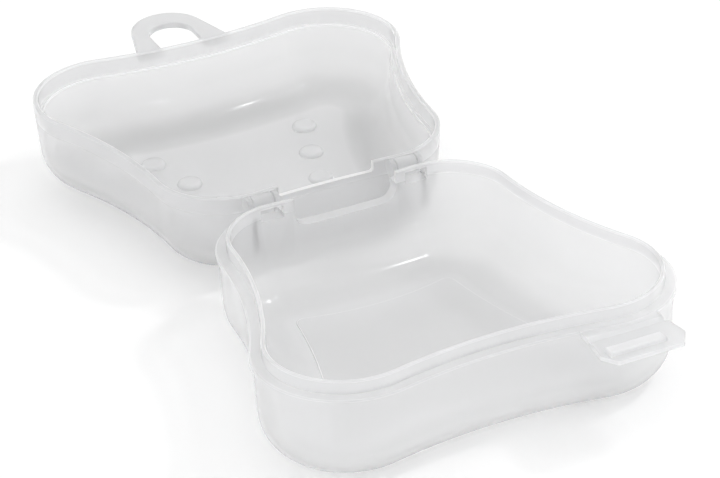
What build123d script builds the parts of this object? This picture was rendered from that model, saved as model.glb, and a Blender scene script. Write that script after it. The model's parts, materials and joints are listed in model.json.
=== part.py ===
from build123d import *
import os
from math import acos, atan2, cos, hypot, radians, sin, sqrt, tan

# Mouth guard case, two lobed trays on one hinge line, stored open as photographed.
# Millimetres. X runs along the hinge, +Y from the base tray to the lid, +Z up.
# The origin is the middle of the base tray's underside, on the surface it stands on.

# Tray outline at the base's ledge: four round lobes joined by four hollow sides
FRONT_LOBE_X = 26.3
FRONT_LOBE_Y = -20.3
FRONT_LOBE_R = 18.65
BACK_LOBE_X = 17.5
BACK_LOBE_Y = 21.1
BACK_LOBE_R = 16.7
FRONT_HOLLOW_R = 113.5
SIDE_HOLLOW_R = 86.0
BACK_HOLLOW_R = 205.0

# Base tray
LEDGE_Z = 20.8
BASE_FLOOR = 1.8
FLANGE_THICK = 1.1
FLANGE_OVERHANG = 0.55
FLANGE_EDGE_R = 0.35
BASE_DRAFT = 0.4
BASE_EDGE_R = 8.5
BASE_INNER_INSET = 3.3
BASE_INNER_DRAFT = 0.3
BASE_INNER_R = 9.0
LIP_INSET = 2.4
LIP_HEIGHT = 2.8
LIP_TOP_R = 0.3

# Raised panel on the base floor, a smaller outline of the same kind
PANEL_RISE = 0.4
PANEL_FRONT_X = 26.3
PANEL_FRONT_Y = -20.3
PANEL_FRONT_R = 3.5
PANEL_BACK_X = 16.6
PANEL_BACK_Y = 20.6
PANEL_BACK_R = 1.9
PANEL_FRONT_HOLLOW_R = 128.0
PANEL_BACK_HOLLOW_R = 60.0
PANEL_SIDE_R = 137.0

# Hinge line, behind the base and a little above its ledge
HINGE_Y = 40.0
HINGE_RISE = 0.6
HINGE_Z = LEDGE_Z + HINGE_RISE
LID_OPEN_TILT = 1.3

# Hinge window in the base's back wall, and the lid's matching notch
WINDOW_HALF = 11.9
WINDOW_Z = 17.0
WINDOW_R = 3.0
NOTCH_HALF = 11.2
NOTCH_Z = -2.0
NOTCH_R = 0.8

# Hinge ears, bars and clips, mirrored left and right
EAR_INNER_X = 13.2
EAR_THICK = 1.0
KNUCKLE_WIDTH = 5.2
EAR_R = 1.9
BAR_R = 0.9
CLIP_BORE_R = 0.96
CLIP_R = 1.9
CLIP_GAP = 0.3
CLIP_MOUTH = 1.5
CLIP_MOUTH_TURN = -110.0
ARM_TOP = 0.0
ARM_THICK = 1.35
EAR_ROOT_Z = 17.6
EAR_ROOT_Y = 37.3
SLOT_Z = 19.9
SLOT_TOP = 22.7

# Latch shelf, fold line and flap at the base's front edge
LATCH_X = 24.4
PLATE_THICK = 1.15
WEB_THICK = 0.35
FOLD_Y = -40.8
FOLD_HALF = 0.95
FOLD_GAP = 0.05
FLAP_END_Y = -50.2
SHELF_HALF = 8.4
FLAP_HALF_ROOT = 8.6
FLAP_HALF_END = 9.5
FLAP_CUT_X = 2.2
FLAP_CUT_Y = 3.4
FLAP_EDGE_R = 0.3
FLAP_CORNER_R = 0.9
RIB_X = 22.6
RIB_Y = -47.0
RIB_WIDTH = 2.6
RIB_LENGTH = 12.4
RIB_RISE = 1.0
RIB_R = 0.45

# Lid tray, drawn lying flat open; heights are from the hinge line
LID_INSET = 0.95
RIM_RISE = 0.35
LID_DEPTH = 20.8
LID_FLOOR = 1.8
LID_DRAFT = 0.7
LID_EDGE_R = 9.5
SKIRT_INNER_INSET = 2.1
SKIRT_DEPTH = 3.7
LID_INNER_INSET = 3.0
LID_INNER_R = 10.0
RIM_EDGE_R = 0.25

# Catch on the lid's far wall, taking the flap's rib
CATCH_LENGTH = 14.8
CATCH_HEIGHT = 4.8
CATCH_SLOT_LENGTH = 13.4
CATCH_SLOT_HEIGHT = 3.2
CATCH_GAP = 0.45
CATCH_R = 1.2
CATCH_SLOT_R = 0.6
FOLD_Z = LEDGE_Z - PLATE_THICK + WEB_THICK
CATCH_DROP = FOLD_Z + (FOLD_Y - RIB_Y) - HINGE_Z
CATCH_FACE_Y = HINGE_Y - FOLD_Y - (PLATE_THICK - WEB_THICK) - CATCH_GAP

# Hang loop on the lid's far wall
LOOP_X = -2.0
LOOP_TOP = -0.6
LOOP_THICK = 1.6
LOOP_R = 8.7
LOOP_CENTRE = 85.5
LOOP_FLARE = 15.0
LOOP_ROOT = 76.0
LOOP_HOLE_R = 5.2
LOOP_HOLE_CENTRE = 83.4
LOOP_EDGE_R = 0.4
LOOP_FOOT_CLEAR = 1.0

# Raised oval pads on the lid's panel: sideways place and distance from the hinge line
PADS = [(18.9, 56.7), (15.1, 44.7), (12.0, 33.0)]
PAD_LENGTH = 5.6
PAD_WIDTH = 5.4
PAD_RISE = 1.0
PAD_R = 0.8

# Working sizes for cutting tools, and the steepest rise of an edge that counts as level
FAR = 60.0
OVER = 5.0
LEVEL_RISE = 0.1


def hollow_centre(lobe_a, lobe_b, radius):
    """Centre of the circle that touches two lobes from outside, going counterclockwise."""
    ax, ay, ar = lobe_a
    bx, by, br = lobe_b
    gap = hypot(bx - ax, by - ay)
    ux = (bx - ax) / gap
    uy = (by - ay) / gap
    reach_a = radius + ar
    reach_b = radius + br
    along = (gap**2 + reach_a**2 - reach_b**2) / (2 * gap)
    out = sqrt(reach_a**2 - along**2)
    return Vector(ax + ux * along + uy * out, ay + uy * along - ux * out)


def arc_between(centre, start, end):
    """Arc about a centre from start to end, by the shorter way round."""
    middle = (start + end) * 0.5
    return ThreePointArc(start, centre + (middle - centre).normalized() * (start - centre).length, end)


def lobed_face(lobes, radii, inset=0.0, z=0.0):
    """Closed outline of round lobes and hollow sides, moved inwards by inset."""
    centres = [Vector(x, y) for x, y, _ in lobes]
    edges = []
    count = len(lobes)
    hollows = [hollow_centre(lobes[i], lobes[(i + 1) % count], radii[i]) for i in range(count)]
    for i in range(count):
        following = (i + 1) % count
        lobe_r = lobes[i][2] - inset
        next_r = lobes[following][2] - inset
        start = centres[i] + (hollows[i - 1] - centres[i]).normalized() * lobe_r
        end = centres[i] + (hollows[i] - centres[i]).normalized() * lobe_r
        after = centres[following] + (hollows[i] - centres[following]).normalized() * next_r
        edges.append(arc_between(centres[i], start, end))
        edges.append(arc_between(hollows[i], end, after))
    return Pos(0, 0, z) * Face(Wire(edges))


def mirrored_lobes(front, back):
    """Four lobes in counterclockwise order from the front and back right-hand ones."""
    fx, fy, fr = front
    bx, by, br = back
    return [(fx, fy, fr), (bx, by, br), (-bx, by, br), (-fx, fy, fr)]


def tray_face(inset=0.0, z=0.0):
    """Outline of the base tray, moved inwards by inset."""
    front = (FRONT_LOBE_X, FRONT_LOBE_Y, FRONT_LOBE_R)
    back = (BACK_LOBE_X, BACK_LOBE_Y, BACK_LOBE_R)
    radii = [SIDE_HOLLOW_R, BACK_HOLLOW_R, SIDE_HOLLOW_R, FRONT_HOLLOW_R]
    return lobed_face(mirrored_lobes(front, back), radii, inset, z)


def lid_face(inset=0.0, z=0.0):
    """The same outline turned over the hinge line, at a height above that line."""
    front = (FRONT_LOBE_X, 2 * HINGE_Y - FRONT_LOBE_Y, FRONT_LOBE_R)
    back = (BACK_LOBE_X, 2 * HINGE_Y - BACK_LOBE_Y, BACK_LOBE_R)
    radii = [SIDE_HOLLOW_R, FRONT_HOLLOW_R, SIDE_HOLLOW_R, BACK_HOLLOW_R]
    return lobed_face(mirrored_lobes(back, front), radii, inset, HINGE_Z + z)


def tray_block(low_face, high_face, edge_r):
    """Drafted block between two outlines with its lower edge rounded."""
    block = Solid.make_loft([low_face.outer_wire(), high_face.outer_wire()], ruled=True)
    low_edges = block.faces().sort_by(Axis.Z)[0].edges()
    return fillet(low_edges, edge_r)


def box_between(low, high):
    """Box between two corners."""
    size = [high[i] - low[i] for i in range(3)]
    middle = [(high[i] + low[i]) / 2 for i in range(3)]
    return Pos(*middle) * Box(*size)


def slot_face(length, height, radius):
    """Rectangle with rounded corners in the XZ plane, centred."""
    return Plane.XZ * RectangleRounded(length, height, radius)


def level_edges(edges):
    """Those edges that run level at their middle."""
    return edges.filter_by(lambda e: abs(e.tangent_at(0.5).Z) < LEVEL_RISE)


def cylinder_x(radius, x_low, x_high, y, z):
    """Round bar along X."""
    middle = Pos((x_low + x_high) / 2, y, z)
    return middle * Rot(0, 90, 0) * Cylinder(radius, x_high - x_low)


def base_cavity():
    """Hollow of the base tray, from the floor to the top of the lip."""
    low = tray_face(BASE_INNER_INSET + BASE_INNER_DRAFT, BASE_FLOOR)
    high = tray_face(BASE_INNER_INSET, LEDGE_Z + LIP_HEIGHT)
    return tray_block(low, high, BASE_INNER_R)


def base_window():
    """Opening in the back wall between the knuckles, open at the top."""
    height = LEDGE_Z + LIP_HEIGHT + 2 * OVER - WINDOW_Z
    face = slot_face(2 * WINDOW_HALF, height, WINDOW_R)
    placed = Pos(0, HINGE_Y - 2 * OVER, WINDOW_Z + height / 2) * face
    return extrude(placed, 4 * OVER, dir=(0, 1, 0))


def knuckle_spans():
    """Side (+1 or -1) with the low and high X between each pair of ears."""
    low = EAR_INNER_X + EAR_THICK
    high = low + KNUCKLE_WIDTH
    return [(1, low, high), (-1, -high, -low)]


def knuckle_slots():
    """Slots through the back wall and lip beside each pair of ears, where the clips turn."""
    cuts = []
    for _, low, high in knuckle_spans():
        cuts.append(box_between((low, HINGE_Y - 2 * OVER, SLOT_Z), (high, HINGE_Y, SLOT_TOP)))
    return cuts


def base_block():
    """Solid outside form of the base tray, with the flange that overhangs its wall."""
    low_z = LEDGE_Z - FLANGE_THICK
    foot = tray_face(FLANGE_OVERHANG + BASE_DRAFT, 0)
    wall = tray_block(foot, tray_face(FLANGE_OVERHANG, low_z), BASE_EDGE_R)
    flange = extrude(tray_face(0, low_z), FLANGE_THICK)
    return wall + fillet(flange.faces().sort_by(Axis.Z)[-1].edges(), FLANGE_EDGE_R)


def make_base_shell():
    """Base tray's floor and walls up to the ledge, with the window and the clips' slots."""
    return base_block() - base_cavity() - base_window() - knuckle_slots()


def make_base_lip():
    """Thin upright lip that stands inside the lid's skirt."""
    block = extrude(tray_face(LIP_INSET, LEDGE_Z), LIP_HEIGHT)
    ring = block - base_cavity()
    ring = fillet(ring.faces().sort_by(Axis.Z)[-1].edges(), LIP_TOP_R)
    return ring - base_window() - knuckle_slots()


def make_floor_panel():
    """Low raised panel in the middle of the base floor."""
    front = (PANEL_FRONT_X, PANEL_FRONT_Y, PANEL_FRONT_R)
    back = (PANEL_BACK_X, PANEL_BACK_Y, PANEL_BACK_R)
    radii = [PANEL_SIDE_R, PANEL_BACK_HOLLOW_R, PANEL_SIDE_R, PANEL_FRONT_HOLLOW_R]
    face = lobed_face(mirrored_lobes(front, back), radii, 0, BASE_FLOOR)
    return extrude(face, PANEL_RISE)


def make_ear(x_low, tray):
    """Rounded ear that holds one end of a hinge bar, rooted down the back wall."""
    run = HINGE_Y - EAR_ROOT_Y
    drop = HINGE_Z - EAR_ROOT_Z
    to_root = atan2(-drop, -run)
    touch = to_root + acos(EAR_R / hypot(run, drop))
    outline = Polyline(
        (HINGE_Y - OVER, EAR_ROOT_Z),
        (EAR_ROOT_Y, EAR_ROOT_Z),
        (HINGE_Y + EAR_R * cos(touch), HINGE_Z + EAR_R * sin(touch)),
        (HINGE_Y, HINGE_Z),
        (HINGE_Y - OVER, EAR_ROOT_Z + EAR_R),
        close=True,
    )
    plane = Plane(origin=(x_low, 0, 0), x_dir=(0, 1, 0), z_dir=(1, 0, 0))
    web = extrude(plane * make_face(outline), EAR_THICK)
    boss = cylinder_x(EAR_R, x_low, x_low + EAR_THICK, HINGE_Y, HINGE_Z)
    return web + boss - tray


def make_clip(low, high):
    """Open round clip that rides on a hinge bar, with the arm that ties it to the lid's wall."""
    x_low = low + CLIP_GAP
    x_high = high - CLIP_GAP
    ring = cylinder_x(CLIP_R, x_low, x_high, HINGE_Y, HINGE_Z)
    arm_low = (x_low, HINGE_Y, HINGE_Z + ARM_TOP - ARM_THICK)
    arm = box_between(arm_low, (x_high, HINGE_Y + OVER, HINGE_Z + ARM_TOP))
    bore = cylinder_x(CLIP_BORE_R, x_low, x_high, HINGE_Y, HINGE_Z)
    mouth = box_between((x_low, 0, -CLIP_MOUTH / 2), (x_high, OVER, CLIP_MOUTH / 2))
    mouth = Pos(0, HINGE_Y, HINGE_Z) * Rot(CLIP_MOUTH_TURN, 0, 0) * mouth
    return ring + arm - bore - mouth


def make_latch_shelf(tray):
    """Fixed plate between the front wall and the fold line, thinned to a web at the fold."""
    top = LEDGE_Z
    low = LEDGE_Z - PLATE_THICK
    web = low + WEB_THICK
    outline = Polyline(
        (FRONT_LOBE_Y, low),
        (FRONT_LOBE_Y, top),
        (FOLD_Y + FOLD_HALF, top),
        (FOLD_Y + FOLD_GAP, web),
        (FOLD_Y + FOLD_GAP, low),
        close=True,
    )
    plane = Plane(origin=(LATCH_X - SHELF_HALF, 0, 0), x_dir=(0, 1, 0), z_dir=(1, 0, 0))
    return extrude(plane * make_face(outline), 2 * SHELF_HALF) - tray


def make_latch_flap():
    """Folding plate with cut corners; its root edge slopes back from the web."""
    top = LEDGE_Z
    low = LEDGE_Z - PLATE_THICK
    root = FOLD_Y - FOLD_GAP
    cut_y = FLAP_END_Y + FLAP_CUT_Y
    plan = Polyline(
        (LATCH_X - FLAP_HALF_ROOT, root),
        (LATCH_X - FLAP_HALF_END, cut_y),
        (LATCH_X - FLAP_HALF_END + FLAP_CUT_X, FLAP_END_Y),
        (LATCH_X + FLAP_HALF_END - FLAP_CUT_X, FLAP_END_Y),
        (LATCH_X + FLAP_HALF_END, cut_y),
        (LATCH_X + FLAP_HALF_ROOT, root),
        close=True,
    )
    plate = extrude(Pos(0, 0, low) * make_face(plan), PLATE_THICK)
    corners = plate.edges().filter_by(Axis.Z).group_by(Axis.Y)
    plate = fillet([*corners[0], *corners[1]], FLAP_CORNER_R)
    outer_rim = plate.edges().filter_by(lambda e: e.center().Y < cut_y + FLAP_EDGE_R)
    plate = fillet(level_edges(outer_rim), FLAP_EDGE_R)
    slope = Polyline(
        (FOLD_Y + OVER, low + WEB_THICK),
        (root, low + WEB_THICK),
        (FOLD_Y - FOLD_HALF, top),
        (FOLD_Y - FOLD_HALF, top + OVER),
        (FOLD_Y + OVER, top + OVER),
        close=True,
    )
    plane = Plane(origin=(LATCH_X - FAR, 0, 0), x_dir=(0, 1, 0), z_dir=(1, 0, 0))
    return plate - extrude(plane * make_face(slope), 2 * FAR)


def make_latch_rib():
    """Raised bar across the flap, with its long top edges rounded."""
    rib = box_between(
        (RIB_X - RIB_LENGTH / 2, RIB_Y - RIB_WIDTH / 2, LEDGE_Z),
        (RIB_X + RIB_LENGTH / 2, RIB_Y + RIB_WIDTH / 2, LEDGE_Z + RIB_RISE),
    )
    return fillet(rib.faces().sort_by(Axis.Z)[-1].edges(), RIB_R)


def lid_cavity():
    """Hollow of the lid tray below its skirt."""
    step = RIM_RISE - SKIRT_DEPTH
    low = lid_face(LID_INNER_INSET + LID_DRAFT, RIM_RISE - LID_DEPTH + LID_FLOOR)
    return tray_block(low, lid_face(LID_INNER_INSET, step + OVER), LID_INNER_R)


def lid_block():
    """Solid outside form of the lid tray, lying flat with its hollow side up."""
    low = lid_face(LID_INSET + LID_DRAFT, RIM_RISE - LID_DEPTH)
    return tray_block(low, lid_face(LID_INSET, RIM_RISE), LID_EDGE_R)


def lid_notch():
    """Notch in the lid's near wall between the clips, open at the rim."""
    height = 2 * OVER
    face = slot_face(2 * NOTCH_HALF, height, NOTCH_R)
    placed = Pos(0, HINGE_Y, HINGE_Z + NOTCH_Z + height / 2) * face
    return extrude(placed, 2 * OVER, dir=(0, 1, 0))


def skirt_zone():
    """Everything above the skirt's step."""
    step = HINGE_Z + RIM_RISE - SKIRT_DEPTH
    return box_between((-FAR, 0, step), (FAR, 3 * FAR, step + 2 * OVER))


def make_lid_shell():
    """Lid tray's panel and walls up to the step under the skirt."""
    return lid_block() - skirt_zone() - lid_cavity()


def make_lid_skirt():
    """Thinner band around the lid's mouth that goes down outside the base's lip."""
    block = lid_block()
    block = fillet(block.faces().sort_by(Axis.Z)[-1].edges(), RIM_EDGE_R)
    hollow = extrude(lid_face(SKIRT_INNER_INSET, RIM_RISE - SKIRT_DEPTH), 2 * OVER)
    return (block & skirt_zone()) - hollow - lid_notch()


def make_hang_loop():
    """Flat loop with a round end, its two legs on the lid's far wall."""
    flare = radians(LOOP_FLARE)
    side_x = LOOP_R * cos(flare)
    side_y = LOOP_CENTRE + LOOP_R * sin(flare)
    root_x = side_x + (side_y - LOOP_ROOT + OVER) * tan(flare)
    outer = Wire([
        Line((root_x, LOOP_ROOT - OVER), (side_x, side_y)),
        ThreePointArc((side_x, side_y), (0, LOOP_CENTRE + LOOP_R), (-side_x, side_y)),
        Line((-side_x, side_y), (-root_x, LOOP_ROOT - OVER)),
        Line((-root_x, LOOP_ROOT - OVER), (root_x, LOOP_ROOT - OVER)),
    ])
    hole = Wire([
        Line((LOOP_HOLE_R, LOOP_ROOT - 2 * OVER), (LOOP_HOLE_R, LOOP_HOLE_CENTRE)),
        ThreePointArc(
            (LOOP_HOLE_R, LOOP_HOLE_CENTRE),
            (0, LOOP_HOLE_CENTRE + LOOP_HOLE_R),
            (-LOOP_HOLE_R, LOOP_HOLE_CENTRE),
        ),
        Line((-LOOP_HOLE_R, LOOP_HOLE_CENTRE), (-LOOP_HOLE_R, LOOP_ROOT - 2 * OVER)),
        Line((-LOOP_HOLE_R, LOOP_ROOT - 2 * OVER), (LOOP_HOLE_R, LOOP_ROOT - 2 * OVER)),
    ])
    place = Pos(LOOP_X, HINGE_Y, HINGE_Z + LOOP_TOP - LOOP_THICK)
    plate = extrude(place * Face(outer), LOOP_THICK) - extrude(place * Face(hole), LOOP_THICK)
    clear_y = HINGE_Y + LOOP_ROOT - OVER + LOOP_FOOT_CLEAR
    outside = level_edges(plate.edges()).filter_by(lambda e: e.center().Y > clear_y)
    return fillet(outside, LOOP_EDGE_R) - lid_block()


def make_catch():
    """Oblong raised frame on the lid's far wall; the flap's rib enters its slot."""
    place = Pos(RIB_X, HINGE_Y + CATCH_FACE_Y, HINGE_Z - CATCH_DROP)
    frame = extrude(place * slot_face(CATCH_LENGTH, CATCH_HEIGHT, CATCH_R), 2 * OVER, dir=(0, -1, 0))
    slot = extrude(place * slot_face(CATCH_SLOT_LENGTH, CATCH_SLOT_HEIGHT, CATCH_SLOT_R), 2 * OVER,
                   dir=(0, -1, 0))
    return frame - slot - lid_block()


def make_pad(x, distance):
    """Low oval pad with a round top edge on the lid's panel."""
    pad = extrude(Ellipse(PAD_LENGTH / 2, PAD_WIDTH / 2), PAD_RISE)
    pad = fillet(pad.faces().sort_by(Axis.Z)[-1].edges(), PAD_R)
    panel_top = HINGE_Z + RIM_RISE - LID_DEPTH + LID_FLOOR
    return Pos(x, HINGE_Y + distance, panel_top) * pad


def opened(solid):
    """Lid feature raised by the small angle at which the lid stops when open."""
    to_hinge = Pos(0, HINGE_Y, HINGE_Z)
    back = Pos(0, -HINGE_Y, -HINGE_Z)
    return to_hinge * Rot(LID_OPEN_TILT, 0, 0) * back * solid


def build_parts():
    """All nodes by name."""
    tray = base_block()
    parts = {
        "base_shell": make_base_shell(),
        "base_lip": make_base_lip(),
        "floor_panel": make_floor_panel(),
        "latch_shelf": make_latch_shelf(tray),
        "latch_flap": make_latch_flap(),
        "latch_rib": make_latch_rib(),
        "lid_shell": opened(make_lid_shell()),
        "lid_skirt": opened(make_lid_skirt()),
        "lid_catch": opened(make_catch()),
        "hang_loop": opened(make_hang_loop()),
    }
    for side, low, high in knuckle_spans():
        name = "right" if side > 0 else "left"
        inner_x = low - EAR_THICK if side > 0 else high
        outer_x = high if side > 0 else low - EAR_THICK
        parts[f"hinge_ear_{name}_inner"] = make_ear(inner_x, tray)
        parts[f"hinge_ear_{name}_outer"] = make_ear(outer_x, tray)
        parts[f"hinge_bar_{name}"] = cylinder_x(BAR_R, low, high, HINGE_Y, HINGE_Z)
        parts[f"hinge_clip_{name}"] = opened(make_clip(low, high) - lid_block())
        for row, (x, distance) in enumerate(PADS, 1):
            parts[f"lid_pad_{name}_{row}"] = opened(make_pad(side * x, distance))
    return parts


def main():
    """Write one file per node."""
    os.makedirs("parts", exist_ok=True)
    for name, solid in build_parts().items():
        solid.label = name
        export_step(solid, f"parts/{name}.step")
        box = solid.bounding_box()
        print(name, round(solid.volume, 2), box.min, box.max, len(solid.solids()))


main()
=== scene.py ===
import json
from math import atan2, ceil, cos, pi, radians, sin, sqrt

import bmesh
import bpy
from bpy.props import FloatProperty, FloatVectorProperty, IntProperty, PointerProperty
from mathutils import Matrix, Vector
from mathutils.bvhtree import BVHTree

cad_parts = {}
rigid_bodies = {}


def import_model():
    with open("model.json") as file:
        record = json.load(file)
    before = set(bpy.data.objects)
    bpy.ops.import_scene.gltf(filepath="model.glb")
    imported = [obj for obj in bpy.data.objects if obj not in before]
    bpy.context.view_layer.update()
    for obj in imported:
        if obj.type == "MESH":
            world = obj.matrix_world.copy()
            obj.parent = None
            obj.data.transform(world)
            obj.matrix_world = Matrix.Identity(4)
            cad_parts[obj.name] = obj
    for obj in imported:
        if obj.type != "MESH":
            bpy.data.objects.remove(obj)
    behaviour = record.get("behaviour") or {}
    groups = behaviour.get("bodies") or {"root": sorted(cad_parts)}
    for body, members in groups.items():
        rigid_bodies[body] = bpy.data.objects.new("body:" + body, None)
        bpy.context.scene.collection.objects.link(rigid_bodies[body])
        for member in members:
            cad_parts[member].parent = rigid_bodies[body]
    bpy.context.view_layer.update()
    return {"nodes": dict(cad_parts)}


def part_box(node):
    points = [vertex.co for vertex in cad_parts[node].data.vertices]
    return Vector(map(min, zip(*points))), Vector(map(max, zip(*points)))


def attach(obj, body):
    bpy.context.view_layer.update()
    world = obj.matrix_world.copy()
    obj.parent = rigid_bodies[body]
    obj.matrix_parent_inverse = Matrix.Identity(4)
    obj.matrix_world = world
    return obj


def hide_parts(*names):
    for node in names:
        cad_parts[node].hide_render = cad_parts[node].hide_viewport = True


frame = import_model()

bl_info = {
    "name": "Mouth guard case",
    "version": (1, 0, 0),
    "blender": (4, 5, 0),
    "location": "View3D > Sidebar > Case",
    "description": "Builds the looks of a clear lobed mouth guard case on its packed frame",
    "category": "Object",
}

MM = 0.001

# Steps and distances of the shapes
ROUND_STEP = radians(5)
CUT_OVER = 10 * MM
CONTACT_DEPTH = 0.06 * MM
CONTACT_REACH = 0.03 * MM
# Width over which a narrow edge's painted highlight fades into the plain face
EDGE_FADE = 0.12 * MM
SOFT_EDGE = 0.12 * MM
PANEL_SOFT_EDGE = 0.22 * MM
SLOT_CORNER_R = 0.15 * MM
# Width over which the painted shade of the inner bend fades out across the floor
FLOOR_FADE = 1.6 * MM
FLAT_STEP = 0.1 * MM
COPY_WELD = 1e-7
SWEEP_WELD = 2e-6
SHARP = radians(35)
MERGE_ANGLE = radians(0.5)
UPRIGHT_LIMIT = 0.7
FACING_LIMIT = -0.8
NO_CONTACT = 1e-9
CAP_PULLS = (0.0, 0.3, 0.6, 0.85, 1.0)

# Rings of a pad's shape: the underside and the side's foot, the round edge, and the top
PAD_RINGS = 12
PAD_EDGE_START = 2.0
PAD_EDGE_RINGS = 7.0

# Bends of the sections: the angle where the leaning wall starts, and steps outside and inside
WALL_START = 180.9
OUTER_STEPS = 14
INNER_STEPS = 18

# Slots of a copied part's finishes
FACE_SLOT, SEAM_SLOT, SIDE_SLOT = 0, 1, 2

# Painted shade on the wide bends and the inner walls: how it fades and where it peaks across a bend, and
# how deep it lies on the walls
BEND_FADE = 0.5
BEND_PEAK = 0.75
BASE_WALL_PAINTED_SHADE = 0.5
LID_WALL_PAINTED_SHADE = 0.2

# The plastic's patterns: their scales, and how far they change colour, roughness and the surface
CLOUD_SCALE = 55.0
FLOW_SCALE = 140.0
GRAIN_SCALE = 2600.0
CLOUD_SHADE = 0.985
CLOUD_ROUGH = 0.12
GRAIN_SHARE = 0.5
FLOW_SHARE = 1.2
BUMP_STRENGTH = 0.35
COAT_ROUGH = 0.1
COAT_IOR = 1.49

# Half width of the white floor and its depth below the case
FLOOR_REACH = 3.0
FLOOR_DROP = 0.3 * MM

# Places and sizes of the lamps, in metres
LAMP_TARGET = (0, 0.04, 0.01)
KEY_PLACE = (0.70, -0.08, 0.86)
KEY_SIZE = (0.12, 0.12)
FRONT_GLINT_PLACE = (0.17, -0.96, 0.13)
BACK_GLINT_PLACE = (-0.87, 0.50, 0.20)
SIDE_GLINT_PLACE = (0.45, -0.21, 0.87)
GLINT_SIZE = (0.05, 0.05)


def length(name, description, default_mm, lowest=0.0):
    """A size in metres, given in millimetres."""
    return FloatProperty(name=name, description=description, default=default_mm * MM,
                         min=lowest, unit="LENGTH", precision=5)


class OutlineSizes(bpy.types.PropertyGroup):
    """The outline shared by both trays, at the base's ledge."""
    front_x: length("Front lobe X", "Half the distance between the front lobes", 26.3)
    front_y: length("Front lobe Y", "Front lobe centre in front of the tray's middle", 20.3)
    front_r: length("Front lobe radius", "Radius of the front lobes", 18.65)
    back_x: length("Back lobe X", "Half the distance between the back lobes", 17.5)
    back_y: length("Back lobe Y", "Back lobe centre behind the tray's middle", 21.1)
    back_r: length("Back lobe radius", "Radius of the back lobes", 16.7)
    front_hollow: length("Front hollow radius", "Radius of the hollow front side", 113.5)
    side_hollow: length("Side hollow radius", "Radius of the hollow sides", 86.0)
    back_hollow: length("Back hollow radius", "Radius of the hollow back side", 205.0)
    hinge_y: length("Hinge line Y", "Distance from the tray's middle to the hinge line", 40.0)
    hinge_z: length("Hinge line Z", "Height of the hinge line", 21.4)
    lid_tilt: FloatProperty(name="Lid tilt", description="Rise of the open lid", subtype="ANGLE",
                            default=radians(1.3))


class BaseSizes(bpy.types.PropertyGroup):
    """Section of the base tray, its lip and its cuts."""
    ledge: length("Ledge height", "Height of the ledge that the lid rests on", 20.8)
    floor: length("Floor", "Thickness of the base's floor", 1.8)
    flange: length("Flange thickness", "Thickness of the flange round the ledge", 1.1)
    overhang: length("Flange overhang", "How far the flange stands out from the wall", 0.55)
    draft: length("Draft", "How far the wall draws in towards the foot", 0.4)
    inner_draft: length("Inner draft", "How far the inner wall draws in towards the floor", 0.3)
    edge_r: length("Outer radius", "Radius of the outer bottom edge", 8.5)
    inner: length("Inner inset", "Inset of the inner wall at the ledge", 3.3)
    inner_r: length("Inner radius", "Radius where wall and floor meet inside", 9.0)
    lip: length("Lip inset", "Inset of the lip's outer face", 2.4)
    lip_height: length("Lip height", "Height of the lip above the ledge", 2.8)
    lip_r: length("Lip radius", "Radius of the lip's top edges", 0.3)
    edge_soft: length("Ledge edge radius", "Radius of the ledge's outer edge", 0.35)
    window_half: length("Window half width", "Half width of the window in the back wall", 11.9)
    window_z: length("Window height", "Height of the window's lower edge", 17.0)
    window_r: length("Window radius", "Radius of the window's lower corners", 3.0)
    slot_low: length("Slot low", "Height of the lower edge of the slots by the hinge", 19.9)
    slot_high: length("Slot high", "Height of the upper edge of the slots by the hinge", 22.7)
    slot_near: length("Slot near side", "Sideways place of each slot's inner end", 14.2)
    slot_far: length("Slot far side", "Sideways place of each slot's outer end", 19.4)


class LidSizes(bpy.types.PropertyGroup):
    """Section of the lid tray, its skirt and its notch; heights are from the hinge line."""
    rim: length("Rim rise", "Height of the rim above the hinge line", 0.35)
    depth: length("Depth", "Depth of the lid from rim to back", 20.8)
    floor: length("Panel", "Thickness of the lid's panel", 1.8)
    outer: length("Outer inset", "Inset of the lid's wall at the rim", 0.95)
    draft: length("Draft", "How far the wall draws in towards the panel", 0.7)
    edge_r: length("Outer radius", "Radius of the outer edge", 9.5)
    skirt: length("Skirt inset", "Inset of the skirt's inner face", 2.1)
    skirt_depth: length("Skirt depth", "Depth of the skirt from the rim", 3.7)
    rim_r: length("Rim radius", "Radius of the rim's edges", 0.25)
    inner: length("Inner inset", "Inset of the inner wall below the skirt", 3.18)
    inner_draft: length("Inner draft", "How far the inner wall draws in", 0.52)
    inner_r: length("Inner radius", "Radius where wall and panel meet inside", 10.0)
    notch_half: length("Notch half width", "Half width of the notch by the hinge", 11.2)
    notch_depth: length("Notch depth", "Depth of the notch below the hinge line", 2.0)
    notch_r: length("Notch radius", "Radius of the notch's corners", 0.8)


class PadSizes(bpy.types.PropertyGroup):
    """The oval pads on the lid's panel."""
    long: length("Pad length", "Length of a pad", 5.6)
    wide: length("Pad width", "Width of a pad", 5.4)
    rise: length("Pad rise", "Height of a pad", 1.0)
    edge_r: length("Pad edge", "Radius of a pad's top edge", 0.8)
    sides: IntProperty(name="Sides", description="Divisions round a pad", default=48, min=12)


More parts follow.
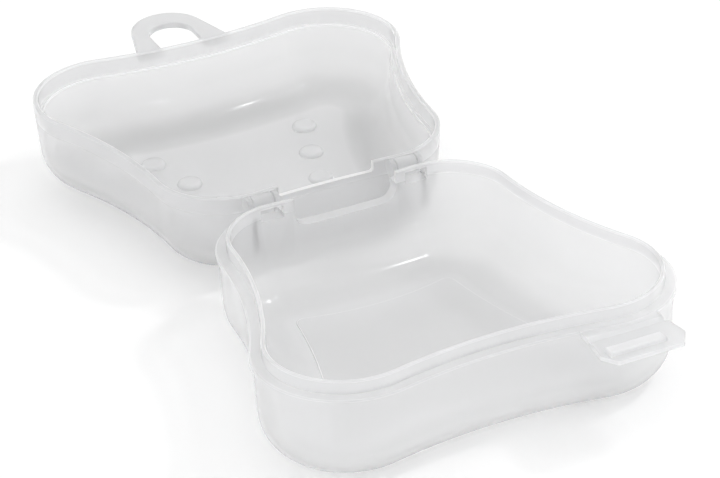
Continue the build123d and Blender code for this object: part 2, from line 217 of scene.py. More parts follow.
class PlasticLook(bpy.types.PropertyGroup):
    """Finish of the clear polypropylene."""
    # Lit and shaded copies of one plastic, painted light: the base tint is lighter, and the lid, flap and
    # thin tints darker, to even out how light falls on each piece
    lid_tint: FloatVectorProperty(name="Lid tint", description="Colour of the lid's plastic",
                                  subtype="COLOR", size=3, default=(0.87, 0.872, 0.878), min=0, max=1)
    base_tint: FloatVectorProperty(name="Base tint", description="Colour of the base's plastic",
                                   subtype="COLOR", size=3, default=(0.955, 0.957, 0.963), min=0, max=1)
    thin_tint: FloatVectorProperty(name="Thin tint", description="Colour of single thin plates",
                                   subtype="COLOR", size=3, default=(0.78, 0.782, 0.788), min=0, max=1)
    flap_tint: FloatVectorProperty(name="Flap tint", description="Colour of the flap and the pads",
                                   subtype="COLOR", size=3, default=(0.87, 0.872, 0.878), min=0, max=1)
    rim_body: FloatProperty(name="Rim body", description="Share of the thin rims that shows",
                            subtype="FACTOR", default=0.78, min=0, max=1)
    thin_body: FloatProperty(name="Thin body", description="Share of thin plates that shows",
                             subtype="FACTOR", default=0.85, min=0, max=1)
    faint_body: FloatProperty(name="Faint body", description="Share of small hidden parts that shows",
                              subtype="FACTOR", default=0.12, min=0, max=1)
    ior: FloatProperty(name="Refraction", description="Refraction index", default=1.12, min=1, max=2)
    frost: FloatProperty(name="Frost", description="Roughness of the moulded faces",
                         subtype="FACTOR", default=0.38, min=0, max=1)
    clear: FloatProperty(name="Clearness", description="Share of the light that goes through",
                         subtype="FACTOR", default=0.6, min=0, max=1)
    body: FloatProperty(name="Body", description="Share of each face that shows as plastic",
                        subtype="FACTOR", default=0.6, min=0, max=1)
    # Painted shade in the wide bends and on the inner walls of each tray
    base_bend_painted_shade: FloatProperty(name="Base bend", description="Shade of the wide bends of the base",
                             subtype="FACTOR", default=0.86, min=0, max=1)
    lid_bend_painted_shade: FloatProperty(name="Lid bend", description="Shade of the wide bends of the lid",
                            subtype="FACTOR", default=0.64, min=0, max=1)
    # Painted highlight: its colour on the narrow edges and the small parts' upright faces, and how much
    # of such an edge shows
    bright: FloatVectorProperty(name="Bright", description="Colour of the narrow edges",
                                subtype="COLOR", size=3, default=(0.97, 0.97, 0.975), min=0, max=1)
    edge_body: FloatProperty(name="Edge body", description="Share of a narrow edge that shows",
                             subtype="FACTOR", default=0.9, min=0, max=1)
    gloss: FloatProperty(name="Gloss", description="Share of clear shine on the moulded faces",
                         subtype="FACTOR", default=0.7, min=0, max=1)
    grain: length("Grain", "Height of the fine frosted grain", 0.004)


class StageLook(bpy.types.PropertyGroup):
    """Camera, floor and light."""
    camera: FloatVectorProperty(name="Camera", description="Camera place", subtype="TRANSLATION",
                                size=3, default=(-0.22532, -0.46217, 0.32054), unit="LENGTH")
    turn: FloatProperty(name="Turn", description="Viewing direction from +Y towards +X",
                        subtype="ANGLE", default=radians(24.696))
    dip: FloatProperty(name="Dip", description="Viewing direction below the horizon",
                       subtype="ANGLE", default=radians(29.628))
    roll: FloatProperty(name="Roll", description="Camera roll", subtype="ANGLE",
                        default=radians(-2.597))
    lens: FloatProperty(name="Lens", description="Focal length in millimetres", default=147.87)
    sky: FloatProperty(name="Sky", description="Strength of the even white light", default=0.93)
    key: FloatProperty(name="Key", description="Power of the key lamp", default=1.4,
                       subtype="POWER")
    glint: FloatProperty(name="Glint", description="Power of each small glint lamp", default=0.4,
                         subtype="POWER")


# Outline of the trays


def outline_points(flip):
    """Points and outward directions round the tray, counterclockwise; flip gives the lid's."""
    s = bpy.context.scene.case_outline
    front = (s.front_x, -s.front_y, s.front_r)
    back = (s.back_x, s.back_y, s.back_r)
    lobes = [front, back, (-back[0], back[1], back[2]), (-front[0], front[1], front[2])]
    radii = [s.side_hollow, s.back_hollow, s.side_hollow, s.front_hollow]
    hollows = [hollow_centre(lobes[i], lobes[(i + 1) % 4], radii[i]) for i in range(4)]
    points = []
    for i in range(4):
        lobe = Vector(lobes[i][:2])
        after = Vector(lobes[(i + 1) % 4][:2])
        start = direction(lobe, hollows[i - 1])
        end = direction(lobe, hollows[i])
        points += arc_points(lobe, lobes[i][2], start, end, 1)
        points += arc_points(hollows[i], radii[i], end + pi, direction(hollows[i], after), -1)
    if flip:
        points = [(Vector((p.x, 2 * s.hinge_y - p.y)), Vector((n.x, -n.y))) for p, n in points]
        points.reverse()
    return points


def hollow_centre(lobe_a, lobe_b, radius):
    """Centre of the circle that touches two lobes from outside."""
    a, b = Vector(lobe_a[:2]), Vector(lobe_b[:2])
    gap = (b - a).length
    unit = (b - a) / gap
    reach_a, reach_b = radius + lobe_a[2], radius + lobe_b[2]
    along = (gap**2 + reach_a**2 - reach_b**2) / (2 * gap)
    out = sqrt(reach_a**2 - along**2)
    return a + unit * along + Vector((unit.y, -unit.x)) * out


def direction(start, end):
    """Angle of the line from start to end."""
    return atan2(end.y - start.y, end.x - start.x)


def arc_points(centre, radius, start, end, side):
    """Points of an arc with the outline's outward directions; the last point is left out."""
    sweep = (end - start) % (2 * pi)
    if side < 0:
        sweep -= 2 * pi
    step = ROUND_STEP if side > 0 else ROUND_STEP / 3
    count = max(8, ceil(abs(sweep) / step))
    made = []
    for k in range(count):
        angle = start + sweep * k / count
        ray = Vector((cos(angle), sin(angle)))
        made.append((centre + ray * radius, ray * side))
    return made


# Sections of the walls: rows of inset, height, pull to the middle, whether a seam follows, and painted
# light (painted shade below zero, painted highlight above)


class Section:
    """Rows of a wall's section, from the first edge to the last."""

    def __init__(self):
        self.rows = []

    def to(self, inset, height, seam=False, pull=0.0, tone=0.0):
        """Adds one row."""
        self.rows.append((inset, height, pull, seam, tone))
        return self

    def turn(self, centre, radius, start, end, count=8, peak=0.5, wall=0.0):
        """Adds a wide bend with painted shade, darkest at a share of its way and even on the wall's side;
        in degrees.
        """
        for k in range(count + 1):
            angle = radians(start + (end - start) * k / count)
            off = min(abs(k / count - peak) / BEND_FADE, 1.0)
            self.to(centre[0] + radius * cos(angle), centre[1] + radius * sin(angle),
                    tone=-max(cos(off * pi / 2) ** 2, wall if k < count * peak else 0.0))
        return self

    def edge(self, centre, radius, start, end, count=5, shine=1.0):
        """Adds a narrow edge about a centre with a painted highlight as strong as shine, painted shade
        where shine is below zero, and plain rows before and after it.
        """
        for k in range(-1, count + 2):
            inside = min(max(k, 0), count)
            angle = radians(start + (end - start) * inside / count)
            along = EDGE_FADE * (k - inside) * (1 if end > start else -1)
            self.to(centre[0] + radius * cos(angle) - along * sin(angle),
                    centre[1] + radius * sin(angle) + along * cos(angle),
                    tone=shine if inside == k else 0.0)
        return self

    def cap(self, inset, height, outwards):
        """Adds rings that close a flat floor at the middle."""
        for pull in (CAP_PULLS if outwards else reversed(CAP_PULLS)):
            self.to(inset, height, False, pull)
        return self


def base_section():
    """Section of the base tray, from the middle of its underside to the middle of its floor, with painted
    shade in both bends and on the inner wall and a faint painted highlight on the ledge's outer edge.
    """
    s = bpy.context.scene.case_base
    made = Section()
    foot = s.overhang + s.draft + s.edge_r
    made.cap(foot + FLAT_STEP, 0, False)
    made.turn((foot, s.edge_r), s.edge_r, 270, WALL_START, OUTER_STEPS)
    made.to(s.overhang, s.ledge - s.flange)
    made.to(0, s.ledge - s.flange)
    made.edge((s.edge_soft, s.ledge - s.edge_soft), s.edge_soft, 180, 90, shine=0.3)
    made.to(s.lip, s.ledge, True)
    made.to(s.inner, s.ledge, tone=-BASE_WALL_PAINTED_SHADE)
    deep = s.inner + s.inner_draft
    made.turn((deep + s.inner_r, s.floor + s.inner_r), s.inner_r, WALL_START, 270, INNER_STEPS,
              BEND_PEAK, BASE_WALL_PAINTED_SHADE)
    made.to(deep + s.inner_r + FLOOR_FADE, s.floor)
    made.cap(deep + s.inner_r + FLOOR_FADE + FLAT_STEP, s.floor, True)
    return made


def lip_section():
    """Section of the lip, once round from its outer foot, with painted highlights on both top edges."""
    s = bpy.context.scene.case_base
    top = s.ledge + s.lip_height
    made = Section()
    made.to(s.lip, s.ledge)
    made.edge((s.lip + s.lip_r, top - s.lip_r), s.lip_r, 180, 90)
    made.edge((s.inner - s.lip_r, top - s.lip_r), s.lip_r, 90, 0)
    made.to(s.inner, s.ledge, True)
    return made


def lid_section():
    """Section of the lid tray below its skirt, with painted shade in both bends and on the inner wall,
    and a painted highlight on the inner edge under the skirt.
    """
    s = bpy.context.scene.case_lid
    back = s.rim - s.depth
    step = s.rim - s.skirt_depth
    step_inset = s.outer + s.draft * s.skirt_depth / s.depth
    made = Section()
    foot = s.outer + s.draft + s.edge_r
    made.cap(foot + FLAT_STEP, back, False)
    made.turn((foot, back + s.edge_r), s.edge_r, 270, WALL_START, OUTER_STEPS)
    made.to(step_inset, step, True)
    made.to(s.skirt, step)
    made.edge((s.inner - s.rim_r, step - s.rim_r), s.rim_r, 90, 0, 4)
    deep = s.inner + s.inner_draft
    made.turn((deep + s.inner_r, back + s.floor + s.inner_r), s.inner_r, WALL_START, 270, INNER_STEPS,
              BEND_PEAK, LID_WALL_PAINTED_SHADE)
    made.to(deep + s.inner_r + FLOOR_FADE, back + s.floor)
    made.cap(deep + s.inner_r + FLOOR_FADE + FLAT_STEP, back + s.floor, True)
    return made


def skirt_section():
    """Section of the lid's skirt, once round from its outer foot, with a faint painted highlight on the
    outer rim edge and a full one on the inner rim edge.
    """
    s = bpy.context.scene.case_lid
    step = s.rim - s.skirt_depth
    step_inset = s.outer + s.draft * s.skirt_depth / s.depth
    made = Section()
    made.to(step_inset, step)
    made.edge((s.outer + s.rim_r, s.rim - s.rim_r), s.rim_r, 180, 90, shine=0.15)
    made.edge((s.skirt - s.rim_r, s.rim - s.rim_r), s.rim_r, 90, 0)
    made.to(s.skirt, step, True)
    return made


# Node trees


class Nodes:
    """A node tree with short ways to add nodes and fill their sockets."""

    def __init__(self, tree):
        self.tree = tree

    def add(self, kind, settings=None, **inputs):
        """Adds a node, its settings first, then its sockets' values or links."""
        node = self.tree.nodes.new(kind)
        for key, value in (settings or {}).items():
            setattr(node, key, value)
        for key, value in inputs.items():
            self.fill(node, key, value)
        return node

    def value(self, kind, output=0, settings=None, **inputs):
        """Adds a node and gives one of its outputs for sums."""
        return Sock(self, self.add(kind, settings, **inputs).outputs[output])

    def fill(self, node, key, value):
        """Fills one socket, named by its label with underscores or by its number."""
        label = key.replace("_", " ")
        if key[0] == "n" and key[1:].isdigit():
            socket = node.inputs[int(key[1:])]
        else:
            socket = next(s for s in node.inputs if s.name == label and s.enabled)
        if isinstance(value, Sock):
            value = value.socket
        if isinstance(value, bpy.types.NodeSocket):
            self.tree.links.new(value, socket)
        else:
            socket.default_value = value


class Sock:
    """A socket that takes part in sums."""

    def __init__(self, nodes, socket):
        self.nodes = nodes
        self.socket = socket

    def do(self, operation, second=0.0):
        """Adds one Math node with this socket first."""
        return self.nodes.value("ShaderNodeMath", 0, {"operation": operation}, n0=self, n1=second)

    def __add__(self, other):
        return self.do("ADD", other)

    def __sub__(self, other):
        return self.do("SUBTRACT", other)

    def __rsub__(self, other):
        return self.nodes.value("ShaderNodeMath", 0, {"operation": "SUBTRACT"}, n0=other, n1=self)

    def __mul__(self, other):
        return self.do("MULTIPLY", other)

    def __truediv__(self, other):
        return self.do("DIVIDE", other)

    def __mod__(self, other):
        return self.do("MODULO", other)

    __radd__ = __add__
    __rmul__ = __mul__


class Tree(Nodes):
    """A geometry node tree with its own sockets."""

    def __init__(self, name, sockets):
        super().__init__(bpy.data.node_groups.new(name, "GeometryNodeTree"))
        face = self.tree.interface
        face.new_socket("Geometry", in_out="OUTPUT", socket_type="NodeSocketGeometry")
        face.new_socket("Geometry", in_out="INPUT", socket_type="NodeSocketGeometry")
        self.ids = {}
        for label, kind in sockets:
            made = face.new_socket(label, in_out="INPUT", socket_type=kind)
            self.ids[label] = made.identifier
        self.source = self.add("NodeGroupInput").outputs

    def vector(self, operation, a, b=None, scale=None):
        """One Vector Math node's result."""
        node = self.add("ShaderNodeVectorMath", {"operation": operation}, n0=a)
        if b is not None:
            self.fill(node, "n1", b)
        if scale is not None:
            self.fill(node, "n3", scale)
        return node.outputs[0]

    def sample(self, geometry, kind, value, index):
        """A value of another geometry's point."""
        node = self.add("GeometryNodeSampleIndex", {"data_type": kind, "domain": "POINT"},
                        Geometry=geometry, Value=value, Index=index)
        return node.outputs[0]

    def attribute(self, name, kind):
        """A named attribute's socket."""
        node = self.add("GeometryNodeInputNamedAttribute", {"data_type": kind}, Name=name)
        return next(s for s in node.outputs if s.enabled and s.name == "Attribute")

    def moulded(self, geometry, seam):
        """Gives the faces their plastic, or the seam's finish where seam is 1, and welds them."""
        shown = self.add("GeometryNodeSetMaterial", Geometry=geometry, Material=self.source["Plastic"])
        kept = self.add("GeometryNodeCaptureAttribute", {"domain": "FACE"}, Geometry=shown.outputs[0])
        kept.capture_items.new("FLOAT", "seam")
        self.fill(kept, "seam", seam)
        joined = self.add("GeometryNodeSetMaterial", Geometry=kept.outputs[0],
                          Material=self.source["Seam"],
                          Selection=Sock(self, kept.outputs["seam"]).do("GREATER_THAN", 0.5))
        welded = self.add("GeometryNodeMergeByDistance", Geometry=joined.outputs[0], Distance=SWEEP_WELD)
        return self.add("GeometryNodeSetShadeSmooth", Geometry=welded.outputs[0]).outputs[0]

    def close(self, geometry):
        """Joins a geometry to the tree's output as real faces."""
        real = self.add("GeometryNodeRealizeInstances", Geometry=geometry)
        self.add("NodeGroupOutput", n0=real.outputs[0])
        return self


def wall_tree():
    """Tree that carries a section round an outline and closes it."""
    made = Tree("Tray wall", [("Section", "NodeSocketObject"), ("Closed", "NodeSocketInt"),
                              ("Middle", "NodeSocketVector"), ("Plastic", "NodeSocketMaterial"),
                              ("Seam", "NodeSocketMaterial")])
    source = made.source
    outline = source["Geometry"]
    section = made.add("GeometryNodeObjectInfo", Object=source["Section"]).outputs["Geometry"]
    around, rows = [made.value("GeometryNodeAttributeDomainSize", "Point Count", {"component": "MESH"},
                               Geometry=shape) for shape in (outline, section)]
    span = around + 1.0
    grid = made.add("GeometryNodeMeshGrid", Vertices_X=rows + source["Closed"], Vertices_Y=span)
    index = made.value("GeometryNodeInputIndex")
    row = (index / span).do("FLOOR") % rows
    place = index % span % around
    here = made.value("GeometryNodeInputPosition")
    at = made.sample(outline, "FLOAT_VECTOR", here, place)
    out = made.sample(outline, "FLOAT_VECTOR", made.attribute("outward", "FLOAT_VECTOR"), place)
    cut = made.sample(section, "FLOAT_VECTOR", here, row)
    inset, pull, height = made.add("ShaderNodeSeparateXYZ", n0=cut).outputs
    flat = made.vector("SUBTRACT", at, made.vector("SCALE", out, scale=inset))
    to_middle = made.vector("SUBTRACT", source["Middle"], flat)
    pulled = made.vector("ADD", flat, made.vector("SCALE", to_middle, scale=pull))
    rise = made.add("ShaderNodeCombineXYZ", Z=height).outputs[0]
    moved = made.add("GeometryNodeSetPosition", Geometry=grid.outputs["Mesh"],
                     Position=made.vector("ADD", pulled, rise))
    # Painted shade and painted highlights of each row, stored on the wall's points for the shader
    tone = made.sample(section, "FLOAT", made.attribute("tone", "FLOAT"), row)
    toned = made.add("GeometryNodeStoreNamedAttribute", {"data_type": "FLOAT", "domain": "POINT"},
                     Geometry=moved.outputs[0], Name="tone", Value=tone)
    seam = made.sample(section, "FLOAT", made.attribute("seam", "FLOAT"), (index / around).do("FLOOR"))
    return made.close(made.moulded(toned.outputs[0], seam))


def pad_tree():
    """Tree that puts a domed oval pad on each given point."""
    made = Tree("Panel pads", [("Length", "NodeSocketFloat"), ("Width", "NodeSocketFloat"),
                               ("Rise", "NodeSocketFloat"), ("Edge", "NodeSocketFloat"),
                               ("Sides", "NodeSocketInt"), ("Plastic", "NodeSocketMaterial"),
                               ("Seam", "NodeSocketMaterial")])
    long, wide, rise, edge, sides = [Sock(made, made.source[label]) for label in (
        "Length", "Width", "Rise", "Edge", "Sides")]
    span = sides + 1.0
    grid = made.add("GeometryNodeMeshGrid", Vertices_X=PAD_RINGS, Vertices_Y=span)
    index = made.value("GeometryNodeInputIndex")
    row = (index / span).do("FLOOR")
    turn = index % span / sides * (2 * pi)
    bend = (row - PAD_EDGE_START) / PAD_EDGE_RINGS * (pi / 2)
    bend = bend.do("MAXIMUM", 0.0).do("MINIMUM", pi / 2)
    drawn = edge * (1.0 - bend.do("COSINE"))
    on_top = (row - (PAD_EDGE_START + PAD_EDGE_RINGS)).do("MAXIMUM", 0.0)
    shrink = (1.0 - on_top * 0.5) * (1.0 - row.do("LESS_THAN", 0.5))
    reach_x = (long * 0.5 - drawn) * shrink
    reach_y = (wide * 0.5 - drawn) * shrink
    height = row.do("GREATER_THAN", 1.5) * (rise - edge + edge * bend.do("SINE"))
    place = made.add("ShaderNodeCombineXYZ", X=reach_x * turn.do("COSINE"),
                     Y=reach_y * turn.do("SINE"), Z=height)
    shaped = made.add("GeometryNodeSetPosition", Geometry=grid.outputs["Mesh"],
                      Position=place.outputs[0])
    pad = made.moulded(shaped.outputs[0], (index / sides).do("LESS_THAN", 1.0))
    spread = made.add("GeometryNodeInstanceOnPoints", Points=made.source["Geometry"], Instance=pad)
    return made.close(spread.outputs[0])


# Mesh helpers


def new_object(name, mesh):
    """Links a mesh object at the origin."""
    made = bpy.data.objects.new(name, mesh)
    bpy.context.scene.collection.objects.link(made)
    return made


def plain(obj, name):
    """Turns an object's evaluated shape into a plain mesh object and removes the first one."""
    graph = bpy.context.evaluated_depsgraph_get()
    mesh = bpy.data.meshes.new_from_object(obj.evaluated_get(graph))
    bpy.data.objects.remove(obj)
    mesh.name = name
    return new_object(name, mesh)


def grown(obj, tree, values, name):
    """Runs a tree on an object with its inputs set by identifier and keeps the result."""
    modifier = obj.modifiers.new("Shape", "NODES")
    modifier.node_group = tree.tree
    for label, value in values.items():
        modifier[tree.ids[label]] = value
    return plain(obj, name)


def outline_object(flip):
    """Closed outline as a mesh with its outward directions stored."""
    points = outline_points(flip)
    count = len(points)
    mesh = bpy.data.meshes.new("outline")
    edges = [(k, (k + 1) % count) for k in range(count)]
    mesh.from_pydata([(*p, 0) for p, _ in points], edges, [])
    stored = mesh.attributes.new("outward", "FLOAT_VECTOR", "POINT")
    for k, (_, n) in enumerate(points):
        stored.data[k].vector = (*n, 0)
    return new_object("outline", mesh)


def section_object(section):
    """Section as a mesh: inset, pull and height as its places, seams and painted light stored."""
    mesh = bpy.data.meshes.new("section")
    rows = section.rows
    places = [(inset, pull, height) for inset, height, pull, _, _ in rows]
    mesh.from_pydata(places, [(k, k + 1) for k in range(len(rows) - 1)], [])
    for place, label in ((3, "seam"), (4, "tone")):
        stored = mesh.attributes.new(label, "FLOAT", "POINT")
        for k, row in enumerate(rows):
            stored.data[k].value = float(row[place])
    return new_object("section", mesh)


def swept(name, section, flip, closed, plastic):
    """Wall swept round the outline; lid walls are swept round the turned outline."""
    s = bpy.context.scene.case_outline
    profile = section_object(section)
    middle = (0, 2 * s.hinge_y if flip else 0, 0)
    values = {"Section": profile, "Closed": int(closed), "Middle": middle,
              "Plastic": finish(plastic), "Seam": finish("seam")}
    made = grown(outline_object(flip), finish.trees["wall"], values, name)
    bpy.data.objects.remove(profile)
    outwards(made)
    return made


def outwards(obj):
    """Makes a closed shape's faces point out."""
    mesh = obj.data
    shape = bmesh.new()
    shape.from_mesh(mesh)
    bmesh.ops.recalc_face_normals(shape, faces=shape.faces)
    shape.to_mesh(mesh)
    shape.free()


def cutter(name, outline, low, high, plastic):
    """Prism with a given XZ outline between two Y places."""
    mesh = bpy.data.meshes.new(name)
    count = len(outline)
    points = [(x, low, z) for x, z in outline] + [(x, high, z) for x, z in outline]
    faces = [tuple(range(count)), tuple(reversed(range(count, 2 * count)))]
    faces += [(k, k + count, (k + 1) % count + count, (k + 1) % count) for k in range(count)]
    mesh.from_pydata(points, [], faces)
    mesh.materials.append(finish(plastic))
    made = new_object(name, mesh)
    outwards(made)
    return made


def rounded(half_x, low, high, radius, middle=0.0, count=8):
    """Rectangle outline in XZ with round corners."""
    corners = [(half_x - radius, high - radius, 0), (-half_x + radius, high - radius, 90),
               (-half_x + radius, low + radius, 180), (half_x - radius, low + radius, 270)]
    points = []
    for x, z, start in corners:
        for k in range(count + 1):
            angle = radians(start + 90 * k / count)
            points.append((middle + x + radius * cos(angle), z + radius * sin(angle)))
    return points


def carve(obj, cutters, name):
    """Cuts shapes out of an object and takes the cutters away."""
    for tool in cutters:
        cut = obj.modifiers.new("Cut", "BOOLEAN")
        cut.operation = "DIFFERENCE"
        cut.solver = "EXACT"
        cut.object = tool
    made = plain(obj, name)
    for tool in cutters:
        bpy.data.objects.remove(tool)
    return made


def contact_cutter(node, shells):
    """Copy of a small part, moved slightly into the shells that carry it, all of it a seam."""
    surface = cad_surface(shells)
    shape = bmesh.new()
    shape.from_mesh(frame["nodes"][node].data)
    bmesh.ops.remove_doubles(shape, verts=shape.verts, dist=COPY_WELD)
    shape.normal_update()
    push = Vector((0, 0, 0))
    for face in shape.faces:
        if touches(face, surface):
            push += face.normal * face.calc_area()
    mesh = bpy.data.meshes.new("contact")
    shape.to_mesh(mesh)
    shape.free()
    mesh.materials.clear()
    mesh.materials.append(finish("seam"))
    if push.length < NO_CONTACT:
        raise RuntimeError(f"{node} does not touch {shells}")
    mesh.transform(Matrix.Translation(push.normalized() * CONTACT_DEPTH))
    return new_object("contact", mesh)


def shaded(obj, angle=SHARP):
    """Sharp edges by angle, smooth faces, and normals that keep large faces flat."""
    mesh = obj.data
    shape = bmesh.new()
    shape.from_mesh(mesh)
    for edge in shape.edges:
        edge.smooth = not (len(edge.link_faces) == 2 and edge.calc_face_angle(0) > angle)
    for face in shape.faces:
        face.smooth = True
    shape.to_mesh(mesh)
    shape.free()
    weighted = obj.modifiers.new("Flat faces", "WEIGHTED_NORMAL")
    weighted.keep_sharp = True
    return obj


def tilted(obj):
    """Raises a flat-drawn lid piece to the hinge line and by the lid's open tilt."""
    s = bpy.context.scene.case_outline
    pivot = Vector((0, s.hinge_y, 0))
    place = Matrix.Translation((0, s.hinge_y, s.hinge_z)) @ Matrix.Rotation(s.lid_tilt, 4, "X")
    obj.data.transform(place @ Matrix.Translation(-pivot))
    return obj


def settle(obj, body, nodes):
    """Hands a finished piece over to the frame."""
    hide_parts(*nodes)
    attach(obj, body)


def cad_surface(nodes):
    """Search tree over some CAD nodes."""
    points, faces = [], []
    for node in nodes:
        mesh = frame["nodes"][node].data
        start = len(points)
        points += [v.co.copy() for v in mesh.vertices]
        faces += [tuple(start + k for k in p.vertices) for p in mesh.polygons]
    return BVHTree.FromPolygons(points, faces)


def moulded_copy(node, name, neighbours, body, plastic, soften=0.0, carries=(),
                 sides=None):
    """Clean copy of a CAD node; faces on a neighbour become seams, upright faces take sides."""
    mesh = frame["nodes"][node].data.copy()
    mesh.materials.clear()
    mesh.materials.append(finish(plastic))
    mesh.materials.append(finish("seam"))
    mesh.materials.append(finish(sides or plastic))
    if carries:
        whole = new_object(name, mesh)
        cut = carve(whole, [contact_cutter(each, [node]) for each in carries], name)
        mesh = cut.data
        bpy.data.objects.remove(cut)
    mesh.name = name
    surface = cad_surface(neighbours)
    shape = bmesh.new()
    shape.from_mesh(mesh)
    bmesh.ops.remove_doubles(shape, verts=shape.verts, dist=COPY_WELD)
    bmesh.ops.dissolve_limit(shape, angle_limit=MERGE_ANGLE, verts=shape.verts, edges=shape.edges)
    shape.normal_update()
    weight = shape.edges.layers.float.new("bevel_weight_edge")
    for face in shape.faces:
        face.smooth = True
        upright = SIDE_SLOT if abs(face.normal.z) < UPRIGHT_LIMIT else FACE_SLOT
        face.material_index = SEAM_SLOT if face.material_index or touches(face, surface) else upright
    for edge in shape.edges:
        pair = edge.link_faces
        corner = len(pair) == 2 and edge.calc_face_angle(0) > SHARP
        edge.smooth = not corner
        if corner and not any(f.material_index == SEAM_SLOT for f in pair):
            edge[weight] = 1.0
    shape.to_mesh(mesh)
    shape.free()
    made = new_object(name, mesh)
    if soften:
        bevel = made.modifiers.new("Soft edges", "BEVEL")
        bevel.limit_method = "WEIGHT"
        bevel.width = soften
        bevel.segments = 3
        bevel.use_clamp_overlap = True
        bevel.harden_normals = True
        bevel.material = SIDE_SLOT
    weighted = made.modifiers.new("Flat faces", "WEIGHTED_NORMAL")
    weighted.keep_sharp = True
    settle(made, body, [node])
    return made


def touches(face, surface):
    """True where a face lies on a neighbour's surface and looks into it."""
    for point in [face.calc_center_median()] + [v.co for v in face.verts]:
        _, _, _, distance = surface.find_nearest(point)
        if distance is None or distance > CONTACT_REACH:
            return False
    _, normal, _, _ = surface.find_nearest(face.calc_center_median())
    return normal.dot(face.normal) < FACING_LIMIT


# Materials


class Look(Nodes):
    """A material's node tree."""

    def __init__(self, name):
        self.material = bpy.data.materials.new(name)
        self.material.use_nodes = True
        super().__init__(self.material.node_tree)
        self.tree.nodes.clear()
        self.out = self.add("ShaderNodeOutputMaterial")

    def blend(self, share, first, second):
        """One Mix node between two colours."""
        mix = self.add("ShaderNodeMix", {"data_type": "RGBA"}, n0=share, n6=first, n7=second)
        return mix.outputs[2]

    def shade(self, shader):
        """Joins a shader to the material's surface."""
        self.fill(self.out, "Surface", shader.outputs[0])
        return self.material


def clear_plastic(name, tint, body, painted_bend_shade):
    """Slightly frosted clear polypropylene; the painted light stored on bends and edges turns into
    painted shade in the bends and painted highlights on the narrow edges.
    """
    s = bpy.context.scene.case_plastic
    look = Look(name)
    here = look.value("ShaderNodeTexCoord", "Object")
    cloud, fine, flow = [look.value("ShaderNodeTexNoise", Vector=here, Scale=scale, Detail=detail)
                         for scale, detail in ((CLOUD_SCALE, 3.0), (GRAIN_SCALE, 2.0), (FLOW_SCALE, 2.0))]
    rough = s.frost - CLOUD_ROUGH / 2 + CLOUD_ROUGH * cloud
    shade = look.blend(cloud, (*tint, 1), (*[c * CLOUD_SHADE for c in tint], 1))
    tone = look.value("ShaderNodeAttribute", 2, {"attribute_name": "tone"})
    # Painted shade: where the stored value is below zero, the colour goes towards a darker copy of the
    # tint
    bend = look.blend(tone * -1.0, shade, (*[c * painted_bend_shade for c in tint], 1))
    # Painted highlight: where the stored value is above zero, the colour goes towards the highlight
    # colour, and the next line makes these edges show more
    rim = look.blend(tone, bend, (*s.bright, 1))
    cover = look.add("ShaderNodeMapRange", Value=tone, To_Min=body, To_Max=s.edge_body)
    height = fine * GRAIN_SHARE + flow * FLOW_SHARE
    bump = look.add("ShaderNodeBump", Height=height, Distance=s.grain, Strength=BUMP_STRENGTH)
    shader = look.add("ShaderNodeBsdfPrincipled", Base_Color=rim, Roughness=rough,
                      IOR=s.ior, Transmission_Weight=s.clear, Alpha=cover.outputs[0],
                      Coat_Weight=s.gloss, Coat_Roughness=COAT_ROUGH, Coat_IOR=COAT_IOR,
                      Normal=bump.outputs[0])
    return look.shade(shader)


def seam():
    """Where two pieces of one moulding meet: nothing is seen there."""
    look = Look("seam")
    shader = look.add("ShaderNodeBsdfPrincipled", Base_Color=(1, 1, 1, 1), Alpha=0.0)
    return look.shade(shader)


def finish(name):
    """A finish by name, made once."""
    if name not in finish.made:
        s = bpy.context.scene.case_plastic
        # Each finish: tint, share that shows, and painted bend shade; the narrow-edge finish is a painted
        # highlight
        kinds = {"base plastic": (s.base_tint, s.body, s.base_bend_painted_shade),
                 "lid plastic": (s.lid_tint, s.body, s.lid_bend_painted_shade),
                 "thin plastic": (s.thin_tint, s.thin_body, 1.0),
                 "faint plastic": (s.lid_tint, s.faint_body, 1.0),
                 "base rim plastic": (s.base_tint, s.rim_body, s.base_bend_painted_shade),
                 "lid rim plastic": (s.lid_tint, s.rim_body, s.lid_bend_painted_shade),
                 "flap plastic": (s.flap_tint, s.rim_body, 1.0),
                 "edge plastic": (s.bright, s.edge_body, 1.0)}
        finish.made[name] = seam() if name == "seam" else clear_plastic(name, *kinds[name])
    return finish.made[name]


finish.made = {}
finish.trees = {}


# Operators


def base_cuts():
    """Cutters for the window and for the slots beside the hinge ears."""
    s, o = bpy.context.scene.case_base, bpy.context.scene.case_outline
    low, high = o.hinge_y - CUT_OVER, o.hinge_y + CUT_OVER
    window = rounded(s.window_half, s.window_z, s.ledge + CUT_OVER, s.window_r)
    tools = [cutter("window", window, low, high, "base plastic")]
    half = (s.slot_far - s.slot_near) / 2
    for side in (-1, 1):
        middle = side * (s.slot_far + s.slot_near) / 2
        slot = rounded(half, s.slot_low, s.slot_high, SLOT_CORNER_R, middle, 3)
        tools.append(cutter("slot", slot, low, high, "base plastic"))
    return tools


class CASE_OT_base_tray(bpy.types.Operator):
    """Build the base tray with its window and slots"""
    bl_idname = "case.base_tray"
    bl_label = "Base tray"

    def execute(self, context):
        wall = swept("base_tray", base_section(), False, False, "base plastic")
        contacts = [contact_cutter(node, ["base_shell"]) for node in (
            "floor_panel", "latch_shelf", "hinge_ear_left_inner", "hinge_ear_left_outer",
            "hinge_ear_right_inner", "hinge_ear_right_outer")]
        made = shaded(carve(carve(wall, base_cuts(), "base_tray"), contacts, "base_tray"))
        settle(made, "base", ["base_shell"])
        return {"FINISHED"}


class CASE_OT_base_lip(bpy.types.Operator):
    """Build the thin lip that stands on the base's ledge"""
    bl_idname = "case.base_lip"
    bl_label = "Base lip"

    def execute(self, context):
        wall = swept("lip", lip_section(), False, True, "base rim plastic")
        made = shaded(carve(wall, base_cuts(), "lip"))
        settle(made, "base", ["base_lip"])
        return {"FINISHED"}


